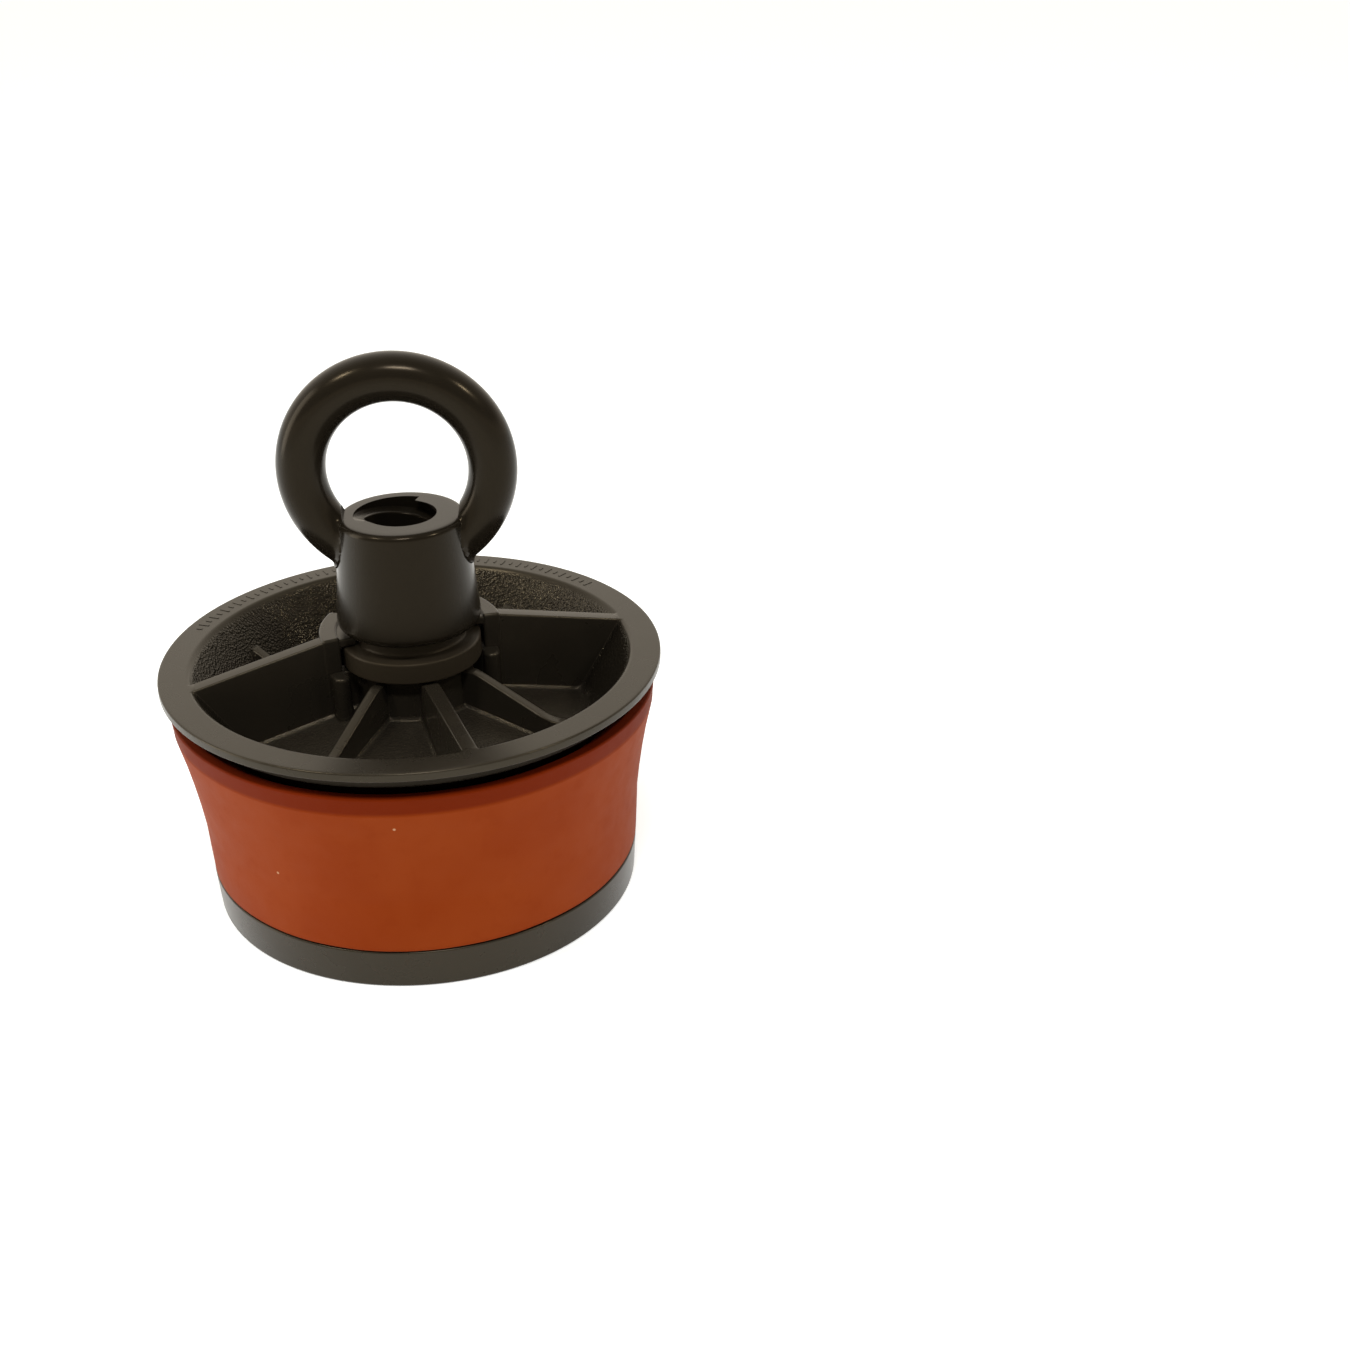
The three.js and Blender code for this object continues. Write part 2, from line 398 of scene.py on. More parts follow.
def sector(name, inner, outer, start, end, low, high, edge, round_ends=False):
    """A slice of a ring with softened edges. Angles in degrees count from the wide rib."""
    middle = (inner + outer) / 2
    half = (outer - inner) / 2
    steps = max(4, round((end - start) / 3))
    sweep = [math.radians(WIDE_RIB_AT + start + (end - start) * i / steps) for i in range(steps + 1)]
    plan = [(outer * math.cos(a), outer * math.sin(a)) for a in sweep]
    if round_ends:
        plan += cap(middle, half, sweep[-1], 1)
    plan += [(inner * math.cos(a), inner * math.sin(a)) for a in reversed(sweep)]
    if round_ends:
        plan += cap(middle, half, sweep[0], -1)
    return bevelled(column(name, plan, low, high), edge, 3, clamp=False)


def cap(middle, half, angle, side):
    """Points round the end of a curved wall, from its outer face to its inner one, or back."""
    centre = Vector((middle * math.cos(angle), middle * math.sin(angle)))
    out = Vector((math.cos(angle), math.sin(angle))) * half
    turns = [math.radians(30 * i) for i in range(1, 6)]
    start = out if side > 0 else -out
    return [tuple(centre + Matrix.Rotation(t, 2) @ start) for t in turns]


# ---------------------------------------------------------------- geometry trees

def thread_tree():
    """A right-hand helical ridge with a rounded trapezoid section, centred on a radius."""
    names = ("Radius", "Lead", "Turns", "Depth", "Inner Width", "Outer Width", "Corner", "Start", "Height")
    tree, given = geometry_tree("helical_thread", names, "Points")
    spiral = tree.add("GeometryNodeCurveSpiral", {
        "Resolution": given["Points"],
        "Rotations": given["Turns"],
        "Start Radius": given["Radius"],
        "End Radius": given["Radius"],
        "Height": given["Lead"] * given["Turns"],
        "Reverse": True,
    })
    upright = tree.add("GeometryNodeSetCurveNormal", {"Curve": spiral}, mode="Z_UP")
    section = tree.add("GeometryNodeCurvePrimitiveQuadrilateral", {
        "Bottom Width": given["Inner Width"],
        "Top Width": given["Outer Width"],
        "Height": given["Depth"],
        "Offset": 0.0,
    }, mode="TRAPEZOID")
    soft = tree.add("GeometryNodeFilletCurve", {
        "Curve": section, "Radius": given["Corner"], "Count": 3, "Limit Radius": True,
    }, mode="POLY")
    across = tree.add("GeometryNodeTransform", {"Geometry": soft, "Rotation": (0.0, 0.0, -math.pi / 2)})
    ridge = tree.add("GeometryNodeCurveToMesh", {
        "Curve": upright, "Profile Curve": across, "Fill Caps": True,
    })
    turn = tree.add("ShaderNodeCombineXYZ", {"Z": given["Start"]})
    lift = tree.add("ShaderNodeCombineXYZ", {"Z": given["Height"]})
    placed = tree.add("GeometryNodeTransform", {"Geometry": ridge, "Translation": lift, "Rotation": turn})
    return finish_tree(tree, placed, given["Finish"])


def spoke_tree():
    """Upright radial ribs round the axis, each a slab with a sloping top."""
    names = ("Inner", "Outer", "Low", "Inner Top", "Outer Top", "Thickness", "Start")
    tree, given = geometry_tree("radial_ribs", names, "Count")

    def corner(across, up):
        return tree.add("ShaderNodeCombineXYZ", {"X": given[across], "Y": given[up]})

    section = tree.add("GeometryNodeCurvePrimitiveQuadrilateral", {
        "Point 1": corner("Inner", "Low"),
        "Point 2": corner("Outer", "Low"),
        "Point 3": corner("Outer", "Outer Top"),
        "Point 4": corner("Inner", "Inner Top"),
    }, mode="POINTS")
    flat = tree.add("GeometryNodeFillCurve", {"Curve": section}, mode="NGONS")
    centred = tree.add("ShaderNodeCombineXYZ", {"Y": given["Thickness"] * 0.5})
    quarter = (math.pi / 2, 0.0, 0.0)
    side = tree.add("GeometryNodeTransform", {"Geometry": flat, "Rotation": quarter, "Translation": centred})
    away = tree.add("ShaderNodeCombineXYZ", {"Y": given["Thickness"] * -1.0})
    slab = tree.add("GeometryNodeExtrudeMesh", {
        "Mesh": side, "Offset": away, "Offset Scale": 1.0, "Individual": False,
    })
    back = tree.add("GeometryNodeFlipFaces", {"Mesh": side})
    shell = tree.add("GeometryNodeJoinGeometry")
    for part in (slab, back):
        tree.tree.links.new(part.socket, shell.socket.node.inputs[0])
    whole = tree.add("GeometryNodeMergeByDistance", {"Geometry": shell, "Distance": 1e-6})
    places = tree.add("GeometryNodeMeshLine", {"Count": given["Count"], "Offset": (0.0, 0.0, 0.0)})
    index = tree.add("GeometryNodeInputIndex")
    around = index / given["Count"] * math.tau + given["Start"]
    turn = tree.add("ShaderNodeCombineXYZ", {"Z": around})
    ribs = tree.add("GeometryNodeInstanceOnPoints", {"Points": places, "Instance": whole, "Rotation": turn})
    return finish_tree(tree, ribs, given["Finish"])


def tick_tree():
    """Small raised marks, long and short by turns, along an arc round the axis."""
    names = ("Radius", "Start", "Span", "Length", "Width", "Rise", "Height")
    tree, given = geometry_tree("rim_ticks", names, "Count")
    size = tree.add("ShaderNodeCombineXYZ", {
        "X": given["Length"], "Y": given["Width"], "Z": given["Rise"],
    })
    bar = tree.add("GeometryNodeMeshCube", {"Size": size})
    index = tree.add("GeometryNodeInputIndex")
    angle = given["Start"] + given["Span"] * index / (given["Count"] - 1.0)
    place = tree.add("ShaderNodeCombineXYZ", {
        "X": given["Radius"] * angle.math("COSINE"),
        "Y": given["Radius"] * angle.math("SINE"),
        "Z": given["Height"],
    })
    points = tree.add("GeometryNodeMeshLine", {"Count": given["Count"], "Offset": (0.0, 0.0, 0.0)})
    set_out = tree.add("GeometryNodeSetPosition", {"Geometry": points, "Position": place})
    turn = tree.add("ShaderNodeCombineXYZ", {"Z": angle})
    share = 1.0 - 0.45 * index.math("MODULO", 2.0)
    scale = tree.add("ShaderNodeCombineXYZ", {"X": share, "Y": 1.0, "Z": 1.0})
    bars = tree.add("GeometryNodeInstanceOnPoints", {
        "Points": set_out, "Instance": bar, "Rotation": turn, "Scale": scale,
    })
    return finish_tree(tree, bars, given["Finish"])


# ---------------------------------------------------------------- finishes

FLOOR_GLOW = 0.40
DISH_SKIN = (0.35, 0.8)  # how far off the dish's own surface its texture fades out
PEBBLE = 0.55
SPECK_SPACING = 7.0


def new_material(name):
    material = bpy.data.materials.new(name)
    material.use_nodes = True
    return material, Tree(material.node_tree)


def split(tree, vector):
    """The three parts of a vector wire."""
    parts = tree.add("ShaderNodeSeparateXYZ", {0: vector}).socket.node
    return [Wire(tree, parts.outputs[i]) for i in range(3)]


def place_mm(tree):
    """Object position in millimetres, with its height and its distance from the axis."""
    spot = tree.add("ShaderNodeTexCoord", output="Object")
    scaled = tree.add("ShaderNodeVectorMath", {0: spot, "Scale": 1 / MM}, operation="SCALE")
    x, y, z = split(tree, scaled)
    radius = (x * x + y * y).math("SQRT")
    return scaled, z, radius


def noise(tree, where, size, detail=3.0, rough=0.5):
    """Soft noise whose features are about size millimetres across."""
    return tree.add("ShaderNodeTexNoise", {
        "Vector": where, "Scale": 1 / size, "Detail": detail, "Roughness": rough,
    })


def mixed(tree, factor, first, second):
    """A colour between two colours."""
    inputs = {"Factor": factor, 6: first, 7: second}
    return tree.add("ShaderNodeMix", inputs, output=2, data_type="RGBA")


def times(tint, factor):
    """The tint made lighter or darker, with full alpha."""
    return (*[c * factor for c in tint], 1)


def bump(tree, height, distance, strength, normal=None):
    inputs = {"Height": height, "Distance": distance * MM, "Strength": strength}
    if normal is not None:
        inputs["Normal"] = normal
    return tree.add("ShaderNodeBump", inputs)


def surface(tree, colour, roughness, normal, **plain):
    """The Principled shader. What varies is linked, and the rest is set on its own sockets."""
    inputs = {"Base Color": colour, "Roughness": roughness, "Normal": normal}
    inputs.update({name.replace("_", " "): value for name, value in plain.items()})
    shader = tree.add("ShaderNodeBsdfPrincipled", inputs)
    tree.add("ShaderNodeOutputMaterial", {"Surface": shader})


def moulded_plastic(name, tint, pale, gloss, glint, grain=0.0, painted_light_below=0.0):
    """Moulded plastic. glint tints its reflections, grain is the depth of the dish's leather pattern, and
    where there is grain the dish wall and the underside of the flange get painted shade.
    Below the height given last, the plastic is painted paler, as painted light, and is less shiny."""
    material, tree = new_material(name)
    where, height, radius = place_mm(tree)
    cloud = noise(tree, where, 22.0, 4.0)
    fine = noise(tree, where, 0.5, 2.0)
    flow = noise(tree, where, 6.0, 3.0)
    colour = mixed(tree, cloud.between(0.35, 0.7) * 0.55, (*tint, 1), (*pale, 1))
    colour = mixed(tree, flow.between(0.5, 0.75) * 0.18, colour, times(tint, 1.5))
    roughness = gloss + (cloud - 0.5) * 0.12 + (flow - 0.5) * 0.08
    normal = bump(tree, cloud, 0.06, 0.3)
    if grain > 0:
        # Painted shade: the plastic just under the flange is painted darker, and is made rougher there.
        shade_under_flange = 1.0 - height.between(56.3, 57.0)
        shade_under_flange = shade_under_flange * height.between(50.0, 51.0) * radius.between(52.0, 53.0)
        colour = mixed(tree, shade_under_flange * 0.7, colour, times(tint, 0.25))
        wall = FLOOR_HEIGHT + (radius - FLOOR_RADIUS) * DISH_SLOPE
        floor = HUB_HEIGHT + (radius - HUB_RADIUS) * FLOOR_SLOPE
        on_wall = 1.0 - (height - wall).math("ABSOLUTE").between(*DISH_SKIN)
        on_floor = 1.0 - (height - floor).math("ABSOLUTE").between(*DISH_SKIN)
        on_wall = on_wall * radius.between(40.6, 41.6) * (1.0 - radius.between(50.0, 50.7))
        on_floor = on_floor * (1.0 - radius.between(39.4, 41.0))
        pebbles = tree.add("ShaderNodeTexVoronoi", {
            "Vector": where, "Scale": 1 / PEBBLE, "Smoothness": 0.25, "Randomness": 1.0,
        }, feature="SMOOTH_F1")
        wander = noise(tree, where, 2.2, 2.0)
        leather = (pebbles + wander * 0.2) * on_wall
        # Painted shade: the dish wall is painted darker than the rest of the plate.
        colour = mixed(tree, on_wall * 0.45, colour, times(tint, 0.4))
        sparkle = noise(tree, where, 0.6, 3.0, 0.65) * on_floor
        normal = bump(tree, fine, 0.02, 0.2, normal)
        normal = bump(tree, leather, grain, 1.0, normal)
        normal = bump(tree, sparkle, 0.22, 1.0, normal)
        roughness = roughness - on_wall * 0.16 - on_floor * 0.16 + shade_under_flange * 0.35
    if painted_light_below > 0:
        # Painted light: below this height the nut's disc and neck are painted paler, and are made rougher.
        painted_light_area = 1.0 - height.between(painted_light_below - 1.0, painted_light_below + 1.0)
        colour = mixed(tree, painted_light_area, colour, times(tint, 2.6))
        roughness = roughness + painted_light_area * 0.2
    surface(tree, colour, roughness, normal, IOR=1.38, Specular_Tint=(*glint, 1))
    return material


def rubber(name, tint, pale, deep, lip, crease):
    """Matt moulded rubber with faint mottling, a dusty bloom below the crease, painted shadow of the flange
    as a deeper red above it, and a few pale specks.
    """
    material, tree = new_material(name)
    where, height, _ = place_mm(tree)
    cloud = noise(tree, where, 26.0, 3.0)
    bloom = noise(tree, where, 5.0, 4.0, 0.6)
    fine = noise(tree, where, 0.5, 3.0, 0.6)
    colour = mixed(tree, cloud.between(0.35, 0.68), (*tint, 1), (*pale, 1))
    colour = mixed(tree, bloom.between(0.52, 0.78) * 0.22, colour, (*deep, 1))
    foot = 1.0 - height.between(9.9, 11.2)
    colour = mixed(tree, foot * 0.4, colour, (*deep, 1))
    # Painted shadow: above the crease the rubber is painted the lip tint, a deeper red that stands for the
    # flange's shadow on its top band.
    colour = mixed(tree, height.between(crease - 0.5, crease + 0.9), colour, (*lip, 1))
    spread = {"Vector": where, "Scale": 1 / SPECK_SPACING}
    dots = tree.add("ShaderNodeTexVoronoi", spread)
    chance = tree.add("ShaderNodeTexVoronoi", spread, output="Color")
    pick = tree.add("ShaderNodeSeparateColor", {"Color": chance})
    specks = (1.0 - dots.between(0.03, 0.06)) * pick.between(0.7, 0.75)
    colour = mixed(tree, specks * 0.6, colour, (0.62, 0.42, 0.25, 1))
    roughness = 0.66 + (bloom - 0.5) * 0.2
    normal = bump(tree, fine, 0.05, 0.4)
    normal = bump(tree, bloom, 0.12, 0.35, normal)
    surface(tree, colour, roughness, normal, IOR=1.25, Specular_Tint=(0.6, 0.25, 0.08, 1))
    return material


def floor_finish(tint):
    """Plain pale studio floor."""
    material, tree = new_material("studio_floor")
    where, _, _ = place_mm(tree)
    cloud = noise(tree, where, 400.0, 2.0)
    colour = mixed(tree, cloud, (*tint, 1), (*[min(1.0, c * 1.02) for c in tint], 1))
    surface(
        tree, colour, 0.7, bump(tree, cloud, 0.01, 0.1),
        Emission_Color=(1.0, 1.0, 1.0, 1), Emission_Strength=FLOOR_GLOW,
    )
    return material


# ---------------------------------------------------------------- settings

def length(name, description, millimetres):
    return FloatProperty(
        name=name, description=description, default=millimetres * MM, unit="LENGTH", precision=5,
    )


def colour(name, description, value):
    return FloatVectorProperty(
        name=name, description=description, default=value, subtype="COLOR", size=3, min=0, max=1,
    )


def share(name, description, value):
    return FloatProperty(name=name, description=description, default=value, subtype="FACTOR", min=0, max=1)


class DuctPlugPlastic(bpy.types.PropertyGroup):
    tint: colour("Tint", "Main colour of the moulded plates", (0.0150, 0.0128, 0.0096))
    pale: colour("Pale tint", "Where the plates look a little bleached", (0.0190, 0.0162, 0.0120))
    glint: colour("Glint", "Tint of the light that the plates reflect", (1.0, 0.86, 0.63))
    gloss: share("Roughness", "Roughness of the plates", 0.28)
    grain: length("Leather grain", "Depth of the pattern on the dish wall", 0.20)
    nut_tint: colour("Nut tint", "Colour of the eye nut", (0.0098, 0.0079, 0.0054))
    nut_glint: colour("Nut glint", "Tint of the light that the eye nut reflects", (0.40, 0.33, 0.235))
    nut_gloss: share("Nut roughness", "Roughness of the eye nut", 0.20)
    stud_tint: colour("Stud tint", "Colour of the stud", (0.020, 0.019, 0.018))


class DuctPlugPlate(bpy.types.PropertyGroup):
    edge: length("Edge radius", "Radius along the tops of the ribs", 0.45)
    fillet: length("Fillet", "Radius where a rib meets the dish", 0.9)
    ticks: IntProperty(name="Rim ticks", description="Marks in each group on the flange", default=24, min=2)
    tick_rise: length("Tick rise", "Height of the marks on the flange", 0.12)


class DuctPlugRubber(bpy.types.PropertyGroup):
    tint: colour("Tint", "Main colour of the rubber ring", (0.215, 0.0300, 0.0030))
    pale: colour("Pale tint", "Colour of its lighter patches", (0.235, 0.0370, 0.0050))
    deep: colour("Deep tint", "Colour of its darker patches", (0.185, 0.0220, 0.0020))
    # The lip tint is painted shadow: the flange's shadow on the rubber's top band, not a colour of its own.
    lip: colour("Lip tint", "Colour of the free lip, which has no bloom", (0.135, 0.0130, 0.0012))
    crease: length("Crease", "Height at which the free lip starts", 47.4)


class DuctPlugNut(bpy.types.PropertyGroup):
    fillet: length("Ring fillet", "Radius where the pull ring meets the barrel", 1.4)
    bevel: length("Mouth bevel", "Radius round the top of the barrel", 1.5)


class DuctPlugStage(bpy.types.PropertyGroup):
    lens: FloatProperty(name="Lens", description="Focal length of the camera", default=47.8, unit="CAMERA")
    floor: colour("Floor", "Colour of the floor", (0.88, 0.93, 0.98))
    sky: FloatProperty(name="Ambient", description="Strength of the light from all round", default=1.2, min=0)


SETTINGS = {
    "duct_plug_plastic": DuctPlugPlastic,
    "duct_plug_plate": DuctPlugPlate,
    "duct_plug_rubber": DuctPlugRubber,
    "duct_plug_nut": DuctPlugNut,
    "duct_plug_stage": DuctPlugStage,
}


def material_once(name, make, *values):
    """The material of that name, made the first time it is asked for."""
    return bpy.data.materials.get(name) or make(name, *values)


def plates_finish(scene):
    plastic = scene.duct_plug_plastic
    tints = tuple(plastic.tint), tuple(plastic.pale)
    look = plastic.gloss, tuple(plastic.glint), plastic.grain / MM
    return material_once("satin_plate_plastic", moulded_plastic, *tints, *look)


def painted(obj, material):
    obj.data.materials.clear()
    obj.data.materials.append(material)
    obj.data.polygons.foreach_set("material_index", [0] * len(obj.data.polygons))
    return obj


def fitted(obj, node, body, blend=None):
    """Hands a finished piece to the frame, in place of its CAD node."""
    if len(obj.data.polygons) < 100:
        raise RuntimeError(f"{obj.name} came out nearly empty")
    if blend:
        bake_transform(obj)
    else:
        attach(obj, body)
    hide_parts(node)


# ---------------------------------------------------------------- the pieces

def smooth_max(first, second, size):
    gap = np.clip(0.5 + 0.5 * (second - first) / size, 0, 1)
    return first * (1 - gap) + second * gap + size * gap * (1 - gap)


def dish_height(radius):
    """Top surface of the dish between the ribs."""
    floor = HUB_HEIGHT + (radius - HUB_RADIUS) * FLOOR_SLOPE
    wall = FLOOR_HEIGHT + (radius - FLOOR_RADIUS) * DISH_SLOPE
    return -smooth_max(-smooth_max(floor, wall, FLOOR_BLEND), np.full_like(radius, -FLANGE_TOP), RIM_BLEND)


UNDER_DISC = TOWER_TOP - 0.2

# The top line of each kind of rib, as radii and heights.
FLUSH_RIB = (
    [0, 17.1, 17.5, 18.2, RIM_RADIUS, 60],
    [UNDER_DISC, UNDER_DISC, 58.3, 58.5, FLANGE_TOP, FLANGE_TOP],
)
TALL_RIB = (
    [0, 18.6, 19.2, 20, RIM_RADIUS, 60],
    [UNDER_DISC, UNDER_DISC, 65.4, 65.6, FLANGE_TOP, FLANGE_TOP],
)
LOW_RIB = (
    [0, 16.6, 18, 34, 36, 38, 40, 42, 44, 45.5, 47, 60],
    [56.9, 56.9, 56.4, 49.1, 48.5, 48.3, 48.5, 49.2, 50.3, 51.2, 51.4, 40],
)

# The ribs in order round the axis from the wide one, each with half its thickness.
RIBS = [
    (FLUSH_RIB, 1.8), (LOW_RIB, 1.3), (TALL_RIB, 1.9), (LOW_RIB, 1.3),
    (FLUSH_RIB, 1.3), (LOW_RIB, 1.3), (TALL_RIB, 1.9), (LOW_RIB, 1.3),
]


def shoulder(rise, edge, fillet, draft):
    """Section of a wall of some height, from its top to its foot: (distance out, share of height kept)."""
    edge_rise = np.minimum(edge, rise / 2)
    foot_rise = np.minimum(fillet, rise / 2)
    lean = draft * np.maximum(rise - edge - fillet, 0) + 0.02
    away = [-edge + edge * math.sin(a) for a in QUARTER]
    up = [rise - edge_rise * (1 - math.cos(a)) for a in QUARTER]
    away += [lean + fillet * (1 - math.cos(a)) for a in QUARTER]
    up += [foot_rise * (1 - math.sin(a)) for a in QUARTER]
    return away, up


def dish_top(radii, columns, edge, fillet):
    """Angles and heights [row, column] of the ribbed surface at these radii."""
    base = dish_height(radii)
    angles = []
    heights = []
    for k in range(len(RIBS)):
        for side, (line, half) in ((1, RIBS[k]), (-1, RIBS[(k + 1) % len(RIBS)])):
            rise = np.maximum(np.interp(radii, *line) - base, 0)
            away, up = shoulder(rise, edge, fillet, 0.025)
            centre = math.radians(WIDE_RIB_AT + RIB_STEP * (k if side > 0 else k + 1))
            part_angles = [np.full_like(radii, centre)]
            part_heights = [base + rise]
            for out, level in zip(away, up):
                part_angles.append(centre + side * np.arcsin((half + out) / radii))
                part_heights.append(base + level)
            reach = np.abs(part_angles[-1] - centre)
            for i in range(1, columns + 1):
                spread = reach + (math.radians(RIB_STEP / 2) - reach) * i / columns
                part_angles.append(centre + side * spread)
                part_heights.append(base)
            if side > 0:
                angles += part_angles
                heights += part_heights
            else:
                angles += part_angles[-2:0:-1]
                heights += part_heights[-2:0:-1]
    return np.stack(angles, 1), np.stack(heights, 1)


def ribbed_dish(edge, fillet):
    """Flange, conical dish, tower and ribs as one closed surface."""
    columns = 8
    _, foot_heights = dish_top(np.array([TOWER_FOOT + fillet]), columns, edge, fillet)
    rise = TOWER_TOP - foot_heights[0]

    def level_row(radius, height):
        return np.full(len(rise), radius), np.full(len(rise), height)

    rows = [
        level_row(TOWER_BORE + edge * (1 - math.cos(a)), TOWER_TOP - edge * (1 - math.sin(a)))
        for a in QUARTER
    ]
    away, up = shoulder(rise, edge, fillet, 0.1)
    for out, level in zip(away, up):
        radius = np.broadcast_to(TOWER_HEAD + out, rise.shape)
        rows.append((radius, foot_heights[0] + level))
    steps = np.concatenate([
        np.arange(16.2, 19.4, 0.3), np.arange(20, 33, 1.6), np.arange(33.4, 38, 0.9),
        np.arange(38, 46.5, 0.5), np.arange(46.8, 50, 0.8), np.arange(50.1, 52, 0.25), [52.6, 54.6, 56.6],
    ])
    _, grid_heights = dish_top(steps, columns, edge, fillet)
    for i, radius in enumerate(steps):
        rows.append((np.full(len(rise), radius), grid_heights[i]))
    flange_low = FLANGE_TOP - FLANGE_EDGE
    below = rounded([
        (TOWER_BORE, TOWER_TOP, 0), (FLANGE_RADIUS - 1, FLANGE_TOP, 0), (FLANGE_RADIUS, FLANGE_TOP, 0.45),
        (FLANGE_RADIUS, flange_low, 0.3), (55.0, flange_low, 0.6), (53.9, 53.3, 1.0), (51.4, 52.5, 1.0),
        (FLOOR_RADIUS + DISH_WALL, FLOOR_HEIGHT - 1.2, 1.2),
        (FLOOR_RADIUS + 0.6, FLOOR_HEIGHT - DISH_WALL, 1.0),
        (TOWER_FOOT + 0.4, HUB_HEIGHT - DISH_WALL, 1.0), (TOWER_FOOT - 0.4, TOWER_BOTTOM, 0.5),
        (TOWER_BORE, TOWER_BOTTOM, 0.3),
    ])[1:]
    rows += [level_row(radius, height) for radius, height in below]
    reference = np.array([r[0].mean() for r in rows])
    angles, _ = dish_top(reference, columns, edge, fillet)
    radii = np.array([r[0] for r in rows])
    heights = np.array([r[1] for r in rows])
    points = np.stack([radii * np.cos(angles), radii * np.sin(angles), heights], axis=-1)
    return grid_object("top_plate_detail", points)


# name, inner and outer radius, start and end in degrees, low, high, edge radius, round ends
HORN_PARTS = (
    ("horn", 17.0, 21.0, 83.3, 130, HORN_FOOT, HORN_TOP, 0.6, False),
    ("wing", 16.4, 20.2, 76, 88, HORN_FOOT, TOWER_TOP, 0.7, True),
    ("lip", 13.2, 18.2, 84, 130, DISC_TOP + 0.4, LIP_TOP, 0.4, False),
)


class DUCTPLUG_OT_top_plate(bpy.types.Operator):
    """Makes the top plate: flange, ribbed dish, tower and the two horns that hold the nut"""

    bl_idname = "duct_plug.top_plate"
    bl_label = "Top plate"

    def execute(self, context):
        settings = context.scene.duct_plug_plate
        finish = plates_finish(context.scene)
        plate = ribbed_dish(settings.edge / MM, settings.fillet / MM)
        blocks = []
        for mirrored in (False, True):
            for name, inner, outer, start, end, *rest in HORN_PARTS:
                ends = (-end, -start) if mirrored else (start, end)
                blocks.append(sector(name, inner, outer, *ends, *rest))
        for start in TICK_STARTS:
            ticks = grown("ticks", tick_tree(), {
                "Radius": TICK_RADIUS * MM, "Start": math.radians(start), "Span": math.radians(TICK_SPAN),
                "Length": 2.6 * MM, "Width": 0.5 * MM, "Rise": 2 * settings.tick_rise,
                "Height": FLANGE_TOP * MM, "Count": settings.ticks, "Finish": finish,
            })
            blocks.append(outward(ticks))
        combined(plate, blocks, "UNION")
        shaded(painted(plate, finish))
        fitted(plate, "top_plate", "plate")
        return {"FINISHED"}


class DUCTPLUG_OT_bottom_plate(bpy.types.Operator):
    """Makes the bottom plate: a hollow disc with ribs below, and the spigot inside the rubber ring"""

    bl_idname = "duct_plug.bottom_plate"
    bl_label = "Bottom plate"

    def execute(self, context):
        finish = plates_finish(context.scene)
        web = BASE_TOP - BASE_WEB
        inside = BASE_FOOT - BASE_WALL
        spigot_top = BASE_TOP + SPIGOT_HEIGHT
        plate = turned("bottom_plate_detail", rounded([
            (SOCKET_BORE, BASE_LIFT, 0.2), (SOCKET_RADIUS, BASE_LIFT, 0.4), (SOCKET_RADIUS, web, 0.8),
            (inside, web, 1.0), (inside, 0, 0.3), (BASE_FOOT, 0, 0.6), (BASE_RADIUS, BASE_TOP, 0.4),
            (SPIGOT_FOOT, BASE_TOP, 0.3), (SPIGOT_TOP, spigot_top, 0.5),
            (SPIGOT_TOP - SPIGOT_WALL, spigot_top, 0.5), (SPIGOT_FOOT - SPIGOT_WALL, BASE_TOP, 0.8),
            (SOCKET_RADIUS, BASE_TOP, 0.8), (SOCKET_RADIUS - SOCKET_DRAFT, SOCKET_TOP, 0.5),
            (SOCKET_BORE, SOCKET_TOP, 0.3),
        ]))
        spokes = spoke_tree()
        common = {"Thickness": BASE_RIB * MM, "Start": 0.0, "Count": 8, "Finish": finish}
        below = grown("ribs_below", spokes, common | {
            "Inner": 16 * MM, "Outer": 48 * MM, "Low": BASE_LIFT * MM,
            "Inner Top": 7 * MM, "Outer Top": 7 * MM,
        })
        above = grown("gussets", spokes, common | {
            "Inner": 15 * MM, "Outer": 39 * MM, "Low": 8.5 * MM,
            "Inner Top": 21.5 * MM, "Outer Top": 14.5 * MM,
        })
        for ribs in (below, above):
            bevelled(outward(ribs), 0.35, 2)
        combined(plate, [below, above], "UNION")
        pocket = hexagon("pocket", HEAD_FLATS + 2 * CLEARANCE, -1, HEAD_SEAT)
        bore = bar("bore", STUD_MAJOR + 0.2, -1, COLLAR_TOP, 96)
        combined(plate, [pocket, bore], "DIFFERENCE")
        shaded(painted(plate, finish))
        fitted(plate, "bottom_plate", "base")
        return {"FINISHED"}


